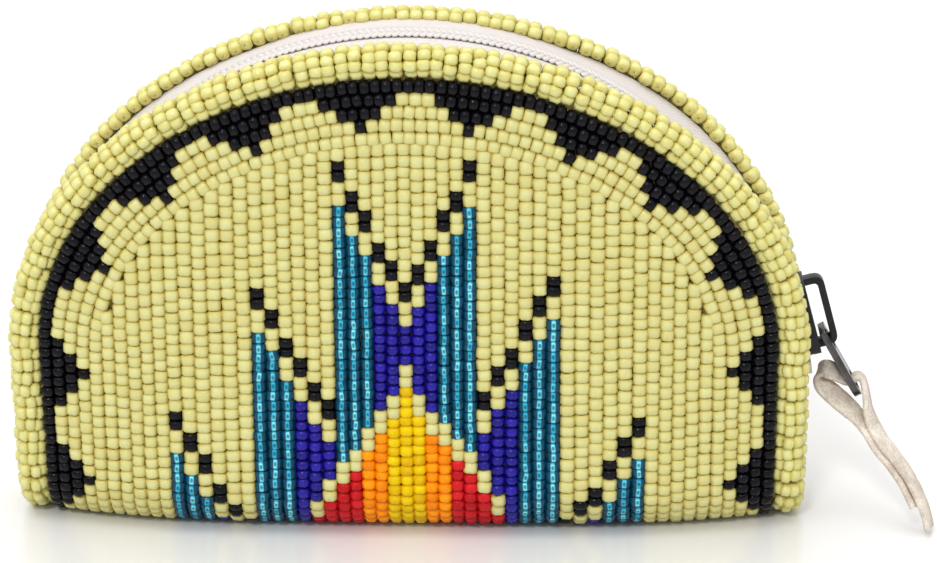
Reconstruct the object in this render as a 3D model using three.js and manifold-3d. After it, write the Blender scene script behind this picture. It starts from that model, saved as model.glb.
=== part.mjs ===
// Beaded half-moon coin purse with an arched zipper, in millimetres.
// +Z is up, +X runs along the width, and the front face looks towards -Y.
// The origin is the middle of the flat strip under the fold, on which the purse stands.
import * as THREE from 'three';
import { mergeVertices } from 'three/addons/utils/BufferGeometryUtils.js';
import Module from 'manifold-3d';

const wasm = await Module();
wasm.setup();

// Driving dimensions of the pouch
const purseWidth = 127;
const sideTop = 30; // top of the straight sides
const archRise = 51; // half-elliptic arch above the straight sides
const topSpread = 23; // between the two edge rolls, at the top of the arch
const sideSpread = 12; // between the two edge rolls, down the sides
const sheetThickness = 1.2;
const seatGap = 0.3; // between pieces that lie against each other

// Driving dimensions of the beadwork
const beadThickness = 1.9;
const stringPitch = 2.1;
const stringGroove = 0.5;
const borderPitch = 2.05;
const borderPeriod = 16.1; // from one border point to the next
const borderRows = 4;
const bumpHalfLengths = [3.0, 5.0, 7.1]; // yellow half-length in border rows 2, 3 and 4
const wrapStart = THREE.MathUtils.degToRad(-48); // edge wraps, measured from the face's normal
const wrapEnd = THREE.MathUtils.degToRad(135);
const wrapBeads = 4;
const wrapGroove = 0.35;

// Heights of the stepped pattern
const sunPeak = 25.4;
const sunStep = 3.35;
const fieldStep = 3.9;
const fieldFeet = [35.8, 17.2, -5.2]; // top of each group's innermost string
const groupStrings = 6;

// Driving dimensions of the zipper
const tapeThickness = 0.6;
const tapeDropTop = 1.8; // tape below the edge roll's crest, at the top of the arch
const tapeDropPark = 3.0; // and inside the widest line, where the slider parks
const parkHeight = 33;
const coilWidth = 2.55;
const coilHeight = 1.6;
const coilPitch = 1.65;
const coilTooth = 0.3;
const coilSlit = 0.9; // between the two coil halves, for the slider's post
const tapeSlit = 1.8;
const stopLength = 2.0;

// Driving dimensions of the slider and its pull
const sliderLength = 12.4;
const sliderWidth = 8.4;
const sliderClearance = 0.4;
const plateThickness = 1.2;
const plateDrop = 0.7; // lower plate below the tape
const flangeWall = 0.85;
const postThickness = 0.5;
const postLength = 3.0;
const bailWidth = 2.2;
const bailBar = 1.1;
const bailWindow = 2.0;
const bailCorner = 1.8;
const tabLength = 12.4;
const tabWidth = 5.0;
const tabThickness = 1.1;
const tabLean = THREE.MathUtils.degToRad(14); // away from the zipper, at rest
const eyeDiameter = 3.4;
const eyeLip = 1.0;
const thongDiameter = 2.2;
const tailReach = 13.0; // thong tip beyond the eye, along the width
const tailForward = 11; // and in front of it

// Values worked out from the driving dimensions
const halfWidth = purseWidth / 2;
const purseHeight = sideTop + archRise;
const rollRadius = sheetThickness / 2 + seatGap + beadThickness;
const foldRadius = sideSpread / 2;
const foldCentre = rollRadius + foldRadius;
const beadInner = sheetThickness / 2 + seatGap;
const faceInset = rollRadius + rollRadius * Math.sin(-wrapStart) + seatGap;
const faceHalf = halfWidth - faceInset;
const foldCut = beadThickness + seatGap;
const tapeTop = purseHeight - tapeDropTop;
const parkX = halfWidth - tapeDropPark;
const parkDrop = tapeTop - parkHeight;
const tapeRadius = (parkX ** 2 + parkDrop ** 2) / (2 * parkDrop);
const arcCentre = tapeTop - tapeRadius;
const parkAngle = Math.atan2(parkX, parkHeight - arcCentre);
const coilEnd = parkAngle + (sliderLength / 2 + sliderClearance) / tapeRadius;
const stopEnd = coilEnd + (stopLength + 2 * seatGap) / tapeRadius;
const zipFoot = arcCentre + tapeRadius * Math.cos(stopEnd);
const zipHalf = sliderWidth / 2 + sliderClearance + rollRadius;
const tapeFlat = coilSlit / 2 + coilWidth + seatGap;

const smooth = THREE.MathUtils.smoothstep;
const mix = THREE.MathUtils.lerp;

function finish(color, roughness, metalness = 0) {
  return new THREE.MeshStandardMaterial({ color, roughness, metalness });
}

const finishes = {
  yellow: finish(0xd9cf7a, 0.4),
  black: finish(0x0c0b0e, 0.2),
  blue: finish(0x2a1c96, 0.25),
  teal: finish(0x11788f, 0.2),
  sunYellow: finish(0xf7cf06, 0.25),
  orange: finish(0xf08a0a, 0.25),
  red: finish(0xc32430, 0.25),
  sheet: finish(0xc9a878, 0.9),
  tape: finish(0xe9e2d8, 0.85),
  coil: finish(0xf1ece4, 0.4),
  enamel: finish(0x0f0e10, 0.3, 0.6),
  gunmetal: finish(0x4a4644, 0.35, 0.9),
  thong: finish(0xe2d6c4, 0.9),
};

const purse = new THREE.Group();

function addPiece(parent, name, geometry, material) {
  const mesh = new THREE.Mesh(geometry, material);
  mesh.name = name;
  parent.add(mesh);
}

// A closed solid from its vertices and triangles, with its faces turned outwards
function closedSolid(points, triangles) {
  const a = new THREE.Vector3();
  let volume = 0;
  for (const [i, j, k] of triangles) volume += a.crossVectors(points[i], points[j]).dot(points[k]);
  const faces = volume > 0 ? triangles : triangles.map(([i, j, k]) => [i, k, j]);
  const geometry = new THREE.BufferGeometry().setFromPoints(points);
  geometry.setIndex(faces.flat());
  return geometry;
}

// A solid through rings that all have the section's number of points, capped at both ends
function loft(rings, section) {
  const count = section.length;
  const triangles = [];
  for (let i = 0; i + 1 < rings.length; i += 1) {
    for (let j = 0; j < count; j += 1) {
      const a = i * count + j;
      const b = i * count + ((j + 1) % count);
      triangles.push([a, b, b + count], [a, b + count, a + count]);
    }
  }
  const last = (rings.length - 1) * count;
  const turned = THREE.ShapeUtils.isClockWise(section);
  for (const [i, j, k] of THREE.ShapeUtils.triangulateShape(section, [])) {
    const [b, c] = turned ? [k, j] : [j, k];
    triangles.push([i, c, b], [last + i, last + b, last + c]);
  }
  return closedSolid(rings.flat(), triangles);
}

// A block under a front surface given as a depth over x and z, with a flat back
function faceBlock(xs, zs, depthAt, backDepth) {
  const count = zs.length;
  const half = xs.length * count;
  const points = [];
  for (const x of xs) for (const z of zs) points.push(new THREE.Vector3(x, -depthAt(x, z), z));
  for (const x of xs) for (const z of zs) points.push(new THREE.Vector3(x, -backDepth, z));
  const triangles = [];
  const quad = (a, b, c, d) => triangles.push([a, b, c], [a, c, d]);
  for (let i = 0; i + 1 < xs.length; i += 1) {
    for (let j = 0; j + 1 < count; j += 1) {
      const a = i * count + j;
      quad(a, a + count, a + count + 1, a + 1);
      quad(half + a, half + a + 1, half + a + count + 1, half + a + count);
    }
    const low = i * count;
    const high = low + count - 1;
    quad(low, half + low, half + low + count, low + count);
    quad(high, high + count, half + high + count, half + high);
  }
  for (let j = 0; j + 1 < count; j += 1) {
    const right = (xs.length - 1) * count + j;
    quad(j, j + 1, half + j + 1, half + j);
    quad(right, half + right, half + right + 1, right + 1);
  }
  return closedSolid(points, triangles);
}

function toSolid(geometry) {
  const bare = geometry.clone();
  bare.deleteAttribute('normal');
  bare.deleteAttribute('uv');
  const merged = mergeVertices(bare, 1e-4);
  const vertProperties = new Float32Array(merged.attributes.position.array);
  const triVerts = new Uint32Array(merged.index.array);
  return new wasm.Manifold(new wasm.Mesh({ numProp: 3, vertProperties, triVerts }));
}

function toGeometry(solid) {
  const mesh = solid.getMesh();
  const geometry = new THREE.BufferGeometry();
  geometry.setAttribute('position', new THREE.BufferAttribute(mesh.vertProperties, 3));
  geometry.setIndex(new THREE.BufferAttribute(mesh.triVerts, 1));
  return geometry;
}

// The same solid on the other face of the purse
function backCopy(geometry) {
  const copy = geometry.clone().scale(1, -1, 1);
  const index = Array.from(copy.index.array);
  for (let i = 0; i < index.length; i += 3) index.splice(i, 3, index[i], index[i + 2], index[i + 1]);
  copy.setIndex(index);
  return copy;
}

function addBoth(name, geometry, material) {
  addPiece(purse, `${name}_front`, geometry, material);
  addPiece(purse, `${name}_back`, backCopy(geometry), material);
}

// A prism through the front half of the purse, from an outline in x and z
function frontPrism(outline) {
  const shape = new THREE.Shape(outline);
  const prism = new THREE.ExtrudeGeometry(shape, { depth: purseWidth, bevelEnabled: false });
  return toSolid(prism.rotateX(Math.PI / 2));
}

// The arch: q is the eccentric angle from the top, and goes on down the straight sides
const sideScale = archRise;
const quarter = Math.PI / 2;

function archPoint(q, inset) {
  const side = Math.sign(q);
  const turn = Math.abs(q);
  if (turn <= quarter) {
    const x = (halfWidth - inset) * Math.sin(turn);
    return new THREE.Vector2(side * x, sideTop + (archRise - inset) * Math.cos(turn));
  }
  return new THREE.Vector2(side * (halfWidth - inset), sideTop - (turn - quarter) * sideScale);
}

function archNormal(q, inset) {
  const turn = Math.min(Math.abs(q), quarter);
  const x = Math.sign(q) * Math.sin(turn) / (halfWidth - inset);
  return new THREE.Vector2(x, Math.cos(turn) / (archRise - inset)).normalize();
}

function heightCoordinate(z) {
  if (z <= sideTop) return quarter + (sideTop - z) / sideScale;
  return Math.acos((z - sideTop) / archRise);
}

// Stations up the left half, over the arch and down the right half, evenly and at the given heights
function archStations(heights, archSteps) {
  const half = heights.map(heightCoordinate);
  for (let i = 0; i < archSteps; i += 1) half.push(quarter * (1 - i / archSteps));
  half.sort((a, b) => b - a);
  return [...half.map((q) => -q), 0, ...half.reverse()];
}

// Arch coordinate at a length from the top, along the line at the given inset
function coordinateAt(length, inset) {
  const step = 0.01;
  let q = 0;
  let walked = 0;
  let stride = 0;
  while (walked < length) {
    stride = archPoint(q, inset).distanceTo(archPoint(q + step, inset));
    walked += stride;
    q += step;
  }
  return walked > 0 ? q - step * (walked - length) / stride : 0;
}

// Half the distance between the edge rolls at a height
function edgeHalfSpread(z) {
  if (z >= zipFoot) return mix(zipHalf, topSpread / 2, (z - zipFoot) / (purseHeight - zipFoot));
  return mix(foldRadius, zipHalf, (z - foldCentre) / (zipFoot - foldCentre));
}

// Depth of the folded sheet's middle from the mid plane, and of anything laid at an offset on it
function sheetDepth(x, z) {
  const edge = edgeHalfSpread(z);
  const share = Math.min(1, Math.abs(x) / faceHalf);
  return edge + (topSpread / 2 - edge) * (1 - share ** 4);
}

function foldHalfFlat(x) {
  return sheetDepth(x, foldCentre) - foldRadius;
}

function faceDepth(x, z, offset) {
  if (z >= foldCentre) return sheetDepth(x, z) + offset;
  const fall = foldCentre - z;
  return foldHalfFlat(x) + Math.sqrt(Math.max(0, (foldRadius + offset) ** 2 - fall ** 2));
}

// Stations across the width, close together where the face turns to its edge
const widthShares = [0, 0.22, 0.42, 0.6, 0.74, 0.85, 0.93, 1];
const rightStations = widthShares.map((share) => share * faceHalf);

function acrossWidth(right) {
  return [...right.slice(1).reverse().map((x) => -x), ...right];
}

// Base sheet: front, fold and back in one piece
const sheetEdge = halfWidth - rollRadius;
const wallShares = [1, 0.66, 0.33, 0];
const wallFootShare = 0.75;
const foldTurns = [0, 0.3, 0.6, 0.9];

function sheetWalk(x, offset) {
  const share = Math.min(1, Math.abs(x) / sheetEdge);
  const top = sideTop + (archRise - rollRadius) * Math.sqrt(1 - share * share);
  const foot = Math.min(zipFoot, mix(foldCentre, top, wallFootShare));
  const front = wallShares.map((wall) => {
    const z = mix(foot, top, wall);
    return new THREE.Vector3(x, -faceDepth(x, z, offset), z);
  });
  const radius = foldRadius + offset;
  for (const turn of foldTurns) {
    const y = -foldHalfFlat(x) - radius * Math.cos(turn * quarter);
    front.push(new THREE.Vector3(x, y, foldCentre - radius * Math.sin(turn * quarter)));
  }
  const back = front.map((p) => new THREE.Vector3(p.x, -p.y, p.z)).reverse();
  return [...front, new THREE.Vector3(x, 0, foldCentre - radius), ...back];
}

function baseSheet() {
  const rings = acrossWidth([...rightStations, sheetEdge]).map((x) => {
    const outer = sheetWalk(x, sheetThickness / 2);
    return [...outer, ...sheetWalk(x, -sheetThickness / 2).reverse()];
  });
  return loft(rings, rings[0].map((p) => new THREE.Vector2(p.y, p.z)));
}

addPiece(purse, 'base_sheet', baseSheet(), finishes.sheet);

// Bead strings under the fold, with the flat strip on which the purse stands
function foldBeads() {
  const right = rightStations.slice(0, -1);
  right.push(faceHalf - stringPitch);
  const radius = rollRadius + foldRadius;
  const rise = Math.asin((foldCentre - beadThickness) / radius);
  const rings = acrossWidth(right).map((x) => {
    const flat = foldHalfFlat(x);
    const front = [rise, (rise + quarter) / 2].map((turn) => {
      const y = -flat - radius * Math.cos(turn);
      return new THREE.Vector3(x, y, foldCentre - radius * Math.sin(turn));
    });
    front.push(new THREE.Vector3(x, -flat, 0));
    return [...front, ...front.map((p) => new THREE.Vector3(p.x, -p.y, p.z)).reverse()];
  });
  return loft(rings, rings[0].map((p) => new THREE.Vector2(p.y, p.z)));
}

addPiece(purse, 'fold_beads', foldBeads(), finishes.yellow);

// Upright bead strings: a ridge for each string, crest on the string and groove between
const stringCount = Math.ceil(faceHalf / stringPitch);
const ridgeLines = [];
for (let line = -2 * stringCount; line <= 2 * stringCount; line += 1) ridgeLines.push(line);

function ridgeDepth(x, z) {
  const groove = Math.abs(Math.round(2 * x / stringPitch)) % 2 === 1 ? stringGroove : 0;
  return faceDepth(x, z, rollRadius - groove);
}

const faceTop = sideTop + archRise - faceInset;
const faceHeights = [foldCut, mix(foldCut, foldCentre, 0.4), foldCentre, zipFoot, faceTop + seatGap];
const coreRadius = foldRadius + beadInner;
const coreTurns = [1, 0.8, 0.6, 0.4, 0.2, 0];
const coreHeights = coreTurns.map((turn) => foldCentre - coreRadius * Math.sin(turn * quarter));
const ridgedBlock = toSolid(faceBlock(
  ridgeLines.map((line) => line * stringPitch / 2),
  faceHeights,
  ridgeDepth,
  0,
));
const coreBlock = toSolid(faceBlock(
  acrossWidth([...rightStations, halfWidth]),
  [...coreHeights, zipFoot, purseHeight],
  (x, z) => faceDepth(x, z, beadInner),
  -seatGap,
));

function faceOutline(inset) {
  return archStations([0], 16).map((q) => archPoint(q, inset));
}

const beadFace = ridgedBlock.intersect(frontPrism(faceOutline(faceInset))).subtract(coreBlock);

// Stepped outline of a colour field, one step for each string, grown or shrunk at every edge
function steppedOutline(strings, lowAt, highAt, grow) {
  const first = strings[0];
  const last = strings[strings.length - 1];
  const upper = [];
  const lower = [];
  const edgeAt = (string, side) => (string + side / 2) * stringPitch;
  const stepShift = (here, next) => (here > next ? grow : -grow);
  for (const string of strings) {
    const high = highAt(string);
    const low = lowAt(string);
    const left = string === first ? -grow : stepShift(highAt(string - 1), high);
    const right = string === last ? grow : stepShift(high, highAt(string + 1));
    const lowLeft = string === first ? -grow : stepShift(low, lowAt(string - 1));
    const lowRight = string === last ? grow : stepShift(lowAt(string + 1), low);
    upper.push(new THREE.Vector2(edgeAt(string, -1) + left, high + grow));
    upper.push(new THREE.Vector2(edgeAt(string, 1) + right, high + grow));
    lower.push(new THREE.Vector2(edgeAt(string, -1) + lowLeft, low - grow));
    lower.push(new THREE.Vector2(edgeAt(string, 1) + lowRight, low - grow));
  }
  return [...lower, ...upper.reverse()];
}

const belowFace = () => 0;

function sunTop(string) {
  return Math.max(foldCut, sunPeak - sunStep * Math.abs(string));
}

function fieldTop(string) {
  const group = Math.floor(Math.abs(string) / groupStrings);
  return fieldFeet[group] + fieldStep * (Math.abs(string) % groupStrings);
}

function fieldFoot(string) {
  const top = sunPeak - sunStep * Math.abs(string);
  return top > foldCut ? top : 0;
}

function stringsBetween(first, last) {
  return Array.from({ length: last - first + 1 }, (_, i) => first + i);
}

// Colour fields beside the middle, by their strings on the right half
const sideFields = [
  { name: 'sun_orange', from: 2, to: 3, low: belowFace, high: sunTop, material: finishes.orange },
  { name: 'sun_red', from: 4, to: 6, low: belowFace, high: sunTop, material: finishes.red },
  { name: 'teal_inner', from: 3, to: 5, low: fieldFoot, high: fieldTop, material: finishes.teal },
  { name: 'blue_middle', from: 6, to: 8, low: fieldFoot, high: fieldTop, material: finishes.blue },
  { name: 'teal_middle', from: 9, to: 11, low: belowFace, high: fieldTop, material: finishes.teal },
  { name: 'teal_outer', from: 15, to: 17, low: belowFace, high: fieldTop, material: finishes.teal },
];
const fields = [
  { name: 'sun_yellow', from: -1, to: 1, low: belowFace, high: sunTop, material: finishes.sunYellow },
  { name: 'blue_centre', from: -2, to: 2, low: fieldFoot, high: fieldTop, material: finishes.blue },
];
for (const field of sideFields) {
  fields.push({ ...field, name: `${field.name}_right` });
  fields.push({ ...field, name: `${field.name}_left`, from: -field.to, to: -field.from });
}

// Border strings along the arch, black to a scalloped inner line
const scallopInset = faceInset + (borderRows - 0.5) * borderPitch;

function borderBand() {
  const lowTurn = Math.asin((foldCentre - foldCut) / coreRadius);
  const bandTurns = [1, 0.75, 0.5, 0.25, 0].map((share) => share * lowTurn);
  const bandHeights = bandTurns.map((turn) => foldCentre - coreRadius * Math.sin(turn));
  bandHeights.push(zipFoot);
  const section = [];
  for (let row = 0; row <= borderRows; row += 1) {
    section.push(new THREE.Vector2(row * borderPitch, rollRadius - stringGroove));
    if (row < borderRows) section.push(new THREE.Vector2((row + 0.5) * borderPitch, rollRadius));
  }
  section.push(new THREE.Vector2(borderRows * borderPitch, beadInner));
  section.push(new THREE.Vector2(0, beadInner));
  const rings = archStations(bandHeights, 18).map((q) => section.map((point) => {
    const place = archPoint(q, faceInset + point.x);
    return new THREE.Vector3(place.x, -faceDepth(place.x, place.y, point.y), place.y);
  }));
  return toSolid(loft(rings, section));
}

function scallopOutline(grow) {
  const inner = [];
  const bumps = Math.ceil((halfWidth + sideTop) / borderPeriod);
  const insetAt = (row) => faceInset + row * borderPitch + grow;
  const mark = (length, row) => {
    const q = Math.sign(length) * coordinateAt(Math.abs(length), scallopInset);
    inner.push(archPoint(q, insetAt(row)));
  };
  for (let bump = -bumps; bump <= bumps; bump += 1) {
    const middle = bump * borderPeriod;
    const steps = bumpHalfLengths.map((length) => length - grow);
    steps.slice().reverse().forEach((length, i) => {
      mark(middle - length, borderRows - i);
      mark(middle - length, borderRows - i - 1);
    });
    steps.forEach((length, i) => {
      mark(middle + length, i + 1);
      mark(middle + length, i + 2);
    });
  }
  const outer = archStations([-purseHeight], 16).map((q) => archPoint(q, 0));
  return [...inner, ...outer.reverse()];
}

addBoth('border', toGeometry(borderBand().intersect(frontPrism(scallopOutline(-seatGap / 2)))),
  finishes.black);

let ground = beadFace.subtract(frontPrism(scallopOutline(seatGap / 2)));
for (const field of fields) {
  const strings = stringsBetween(field.from, field.to);
  const outline = steppedOutline(strings, field.low, field.high, -seatGap / 2);
  const cut = steppedOutline(strings, field.low, field.high, seatGap / 2);
  addBoth(field.name, toGeometry(beadFace.intersect(frontPrism(outline))), field.material);
  ground = ground.subtract(frontPrism(cut));
}
addBoth('ground', toGeometry(ground), finishes.yellow);

// Edge roll: four-bead wraps over the sheet's edge, open towards the face
function rollSection() {
  const section = [];
  const step = (wrapEnd - wrapStart) / wrapBeads;
  const polar = (angle, radius) => new THREE.Vector2(radius * Math.cos(angle), radius * Math.sin(angle));
  for (let bead = 0; bead <= wrapBeads; bead += 1) {
    section.push(polar(wrapStart + bead * step, rollRadius - wrapGroove));
    if (bead < wrapBeads) section.push(polar(wrapStart + (bead + 0.5) * step, rollRadius));
  }
  section.push(polar(wrapEnd, beadInner), polar(quarter, beadInner), polar(quarter / 2, beadInner));
  section.push(new THREE.Vector2(beadInner, 0));
  section.push(new THREE.Vector2(beadInner, beadInner * Math.tan(wrapStart)));
  return section;
}

function edgeRoll() {
  const section = rollSection();
  const rings = [];
  const ring = (centre, faceWay, edgeWay) => rings.push(section.map((point) => centre.clone()
    .addScaledVector(faceWay, point.x).addScaledVector(edgeWay, point.y)));
  const foldRing = (side, turn) => {
    const faceWay = new THREE.Vector3(0, -Math.cos(turn), -Math.sin(turn));
    const centre = new THREE.Vector3(side * (halfWidth - rollRadius), 0, foldCentre);
    ring(centre.addScaledVector(faceWay, foldRadius), faceWay, new THREE.Vector3(side, 0, 0));
  };
  const lastTurn = Math.acos(seatGap / 2 / foldRadius);
  const turns = [1, 0.7, 0.35].map((share) => share * lastTurn);
  for (const turn of turns) foldRing(-1, turn);
  for (const q of archStations([foldCentre, zipFoot], 16)) {
    const place = archPoint(q, rollRadius);
    const normal = archNormal(q, rollRadius);
    const centre = new THREE.Vector3(place.x, -sheetDepth(place.x, place.y), place.y);
    ring(centre, new THREE.Vector3(0, -1, 0), new THREE.Vector3(normal.x, 0, normal.y));
  }
  for (const turn of turns.reverse()) foldRing(1, turn);
  return loft(rings, section);
}

addBoth('edge_roll', edgeRoll(), finishes.yellow);

// Zipper tape: from the sheet's inner side, under the edge beads, to the coil
function rollDistance(angle) {
  const across = Math.sin(angle);
  const up = Math.cos(angle);
  const width = halfWidth - rollRadius;
  const rise = archRise - rollRadius;
  const foot = arcCentre - sideTop;
  const a = (across / width) ** 2 + (up / rise) ** 2;
  const b = 2 * up * foot / rise ** 2;
  const c = (foot / rise) ** 2 - 1;
  const reach = (-b + Math.sqrt(b * b - 4 * a * c)) / (2 * a);
  return arcCentre + reach * up >= sideTop ? reach : width / Math.abs(across);
}

function tapeRing(outer, flat, normal, reach, slit) {
  const flatReach = Math.min(tapeFlat, reach - seatGap);
  const at = (place, y, lift) => {
    return new THREE.Vector3(place.x + normal.x * lift, -y, place.y + normal.y * lift);
  };
  const half = tapeThickness / 2;
  const inner = slit / 2;
  return [
    at(outer, reach, half), at(flat, flatReach, half), at(flat, inner, half),
    at(flat, inner, -half), at(flat, flatReach, -half), at(outer, reach, -half),
  ];
}

function zipperTape() {
  const rings = [];
  const rollX = halfWidth - rollRadius;
  const endX = tapeRadius * Math.sin(stopEnd);
  const reachAt = (z) => faceDepth(rollX, z, -beadInner);
  const lowest = foldCentre - (foldRadius - beadInner) * 0.97;
  const heights = [0, 0.12, 0.3, 0.5, 0.75].map((share) => mix(lowest, zipFoot, share));
  const sideRing = (side, z) => {
    const flatX = mix(rollX, endX, smooth(z, foldCentre, zipFoot));
    const place = (x) => new THREE.Vector2(side * x, z);
    rings.push(tapeRing(place(rollX), place(flatX), new THREE.Vector2(side, 0), reachAt(z), seatGap));
  };
  for (const z of heights) sideRing(-1, z);
  const steps = 40;
  for (let i = 0; i <= steps; i += 1) {
    const angle = mix(-stopEnd, stopEnd, i / steps);
    const normal = new THREE.Vector2(Math.sin(angle), Math.cos(angle));
    const place = (radius) => new THREE.Vector2(normal.x * radius, arcCentre + normal.y * radius);
    const outer = place(rollDistance(angle));
    const reach = faceDepth(outer.x, outer.y, -beadInner);
    rings.push(tapeRing(outer, place(tapeRadius), normal, reach, tapeSlit));
  }
  for (const z of heights.reverse()) sideRing(1, z);
  return loft(rings, rings[rings.length / 2 | 0].map((p) => new THREE.Vector2(p.y, p.z)));
}

addBoth('zipper_tape', zipperTape(), finishes.tape);

// Zipper coil: one half of the chain, a crest for each turn of the coil
const coilSeat = tapeRadius + tapeThickness / 2 + seatGap;

function zipperCoil() {
  const turns = Math.round(2 * coilEnd * tapeRadius / coilPitch);
  const section = [
    new THREE.Vector2(coilSlit / 2, 0),
    new THREE.Vector2(coilSlit / 2, coilHeight),
    new THREE.Vector2(coilSlit / 2 + coilWidth * 0.8, coilHeight),
    new THREE.Vector2(coilSlit / 2 + coilWidth, 0),
  ];
  const rings = [];
  for (let i = 0; i <= 2 * turns; i += 1) {
    const angle = mix(-coilEnd, coilEnd, i / (2 * turns));
    const tooth = i % 2 === 0 ? coilTooth : 0;
    rings.push(section.map((point) => {
      const radius = coilSeat + (point.y > 0 ? point.y - tooth : 0);
      return new THREE.Vector3(radius * Math.sin(angle), -point.x, arcCentre + radius * Math.cos(angle));
    }));
  }
  return loft(rings, section);
}

addBoth('zipper_coil', zipperCoil(), finishes.coil);

// Pieces on the zipper's arc stand in groups turned about its centre
function arcGroup(angle) {
  const group = new THREE.Group();
  group.position.set(0, 0, arcCentre);
  group.rotation.y = angle;
  purse.add(group);
  return group;
}

const stopAngle = coilEnd + (seatGap + stopLength / 2) / tapeRadius;

function stopBlock(width, y) {
  const block = new THREE.BoxGeometry(stopLength, width, coilHeight);
  return block.translate(0, y, coilSeat + coilHeight / 2);
}

const coilMiddle = (coilSlit + coilWidth) / 2;
const parkStops = arcGroup(stopAngle);
addPiece(parkStops, 'top_stop_front', stopBlock(coilWidth, -coilMiddle), finishes.enamel);
addPiece(parkStops, 'top_stop_back', stopBlock(coilWidth, coilMiddle), finishes.enamel);
addPiece(arcGroup(-stopAngle), 'bottom_stop', stopBlock(coilSlit + 2 * coilWidth, 0), finishes.enamel);

// Slider: two plates round the coil, joined by a thin post, with the bail cast on top
const plateUnder = coilSeat + coilHeight + sliderClearance;
const plateTop = plateUnder + plateThickness;
const lowerTop = tapeRadius - tapeThickness / 2 - plateDrop;
const channelHalf = sliderWidth / 2 - flangeWall;

function slabBetween(shape, low, high) {
  const options = { depth: high - low, bevelEnabled: false, curveSegments: 4 };
  return toSolid(new THREE.ExtrudeGeometry(shape, options).translate(0, 0, low));
}

function boxBetween(low, high) {
  const size = high.clone().sub(low);
  const middle = low.clone().add(high).multiplyScalar(0.5);
  return toSolid(new THREE.BoxGeometry(size.x, size.y, size.z).translate(middle.x, middle.y, middle.z));
}

function sliderPlan() {
  const nose = sliderLength / 2;
  const half = sliderWidth / 2;
  const tail = half * 0.92;
  const corner = half * 0.45;
  const plan = new THREE.Shape();
  plan.moveTo(-nose, -tail + corner);
  plan.quadraticCurveTo(-nose, -tail, -nose + corner, -tail);
  plan.lineTo(nose - corner, -half);
  plan.quadraticCurveTo(nose, -half, nose, -half + corner);
  plan.lineTo(nose, half - corner);
  plan.quadraticCurveTo(nose, half, nose - corner, half);
  plan.lineTo(-nose + corner, tail);
  plan.quadraticCurveTo(-nose, tail, -nose, tail - corner);
  return plan;
}

const bailHalf = sliderLength / 2 - seatGap;

function bailSolid() {
  const height = bailWindow + bailBar;
  const inner = bailHalf - bailBar;
  const innerCorner = Math.max(bailCorner - bailBar, seatGap);
  const side = new THREE.Shape();
  side.moveTo(-bailHalf, -plateThickness / 2);
  side.lineTo(-bailHalf, height - bailCorner);
  side.quadraticCurveTo(-bailHalf, height, -bailHalf + bailCorner, height);
  side.lineTo(bailHalf - bailCorner, height);
  side.quadraticCurveTo(bailHalf, height, bailHalf, height - bailCorner);
  side.lineTo(bailHalf, -plateThickness / 2);
  side.lineTo(inner, -plateThickness / 2);
  side.lineTo(inner, bailWindow - innerCorner);
  side.quadraticCurveTo(inner, bailWindow, inner - innerCorner, bailWindow);
  side.lineTo(-inner + innerCorner, bailWindow);
  side.quadraticCurveTo(-inner, bailWindow, -inner, bailWindow - innerCorner);
  side.lineTo(-inner, -plateThickness / 2);
  const options = { depth: bailWidth, bevelEnabled: false, curveSegments: 5 };
  const bail = new THREE.ExtrudeGeometry(side, options).rotateX(quarter);
  return toSolid(bail.translate(0, bailWidth / 2, plateTop));
}

function sliderSolid() {
  const flangeFoot = coilSeat + coilHeight / 2 - seatGap;
  const channel = boxBetween(
    new THREE.Vector3(-sliderLength, -channelHalf, lowerTop),
    new THREE.Vector3(sliderLength, channelHalf, plateUnder),
  );
  const post = boxBetween(
    new THREE.Vector3(sliderLength / 2 - postLength - seatGap, -postThickness / 2, lowerTop - seatGap),
    new THREE.Vector3(sliderLength / 2 - seatGap, postThickness / 2, plateUnder + seatGap),
  );
  const lower = slabBetween(sliderPlan(), lowerTop - plateThickness, lowerTop);
  const upper = slabBetween(sliderPlan(), flangeFoot, plateTop).subtract(channel);
  return toGeometry(upper.add(lower).add(post).add(bailSolid()));
}

const sliderGroup = arcGroup(parkAngle);
addPiece(sliderGroup, 'slider', sliderSolid(), finishes.enamel);

// Pull tab: a bar inside the bail, a slot round it and an eye for the thong
const barHalf = tabThickness / 2;
const pullGroup = new THREE.Group();
pullGroup.position.set(bailHalf - bailBar - 1.5 * barHalf - seatGap, 0, plateTop + bailWindow / 2);
pullGroup.rotation.y = -tabLean;
sliderGroup.add(pullGroup);

const eyeRadius = eyeDiameter / 2;
const eyeAt = tabLength - eyeRadius - eyeLip;

function tabShape() {
  const half = tabWidth / 2;
  const slotHalf = bailWidth / 2 + sliderClearance;
  const slotEnd = barHalf + bailBar + bailCorner;
  const end = eyeRadius + eyeLip;
  const shape = new THREE.Shape();
  shape.moveTo(-barHalf, -half);
  shape.lineTo(slotEnd + eyeLip, -half);
  shape.lineTo(eyeAt, -end);
  shape.absarc(eyeAt, 0, end, -quarter, quarter, false);
  shape.lineTo(slotEnd + eyeLip, half);
  shape.lineTo(-barHalf, half);
  const slot = new THREE.Path();
  slot.moveTo(barHalf, -slotHalf);
  slot.lineTo(barHalf, slotHalf);
  slot.lineTo(slotEnd, slotHalf);
  slot.lineTo(slotEnd, -slotHalf);
  const eye = new THREE.Path();
  eye.absarc(eyeAt, 0, eyeRadius, 0, 2 * Math.PI, true);
  shape.holes.push(slot, eye);
  return shape;
}

function tabGeometry() {
  const options = { depth: tabThickness, bevelEnabled: false, curveSegments: 10 };
  return new THREE.ExtrudeGeometry(tabShape(), options).translate(0, 0, -tabThickness / 2);
}

addPiece(pullGroup, 'pull_tab', tabGeometry(), finishes.gunmetal);

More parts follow.
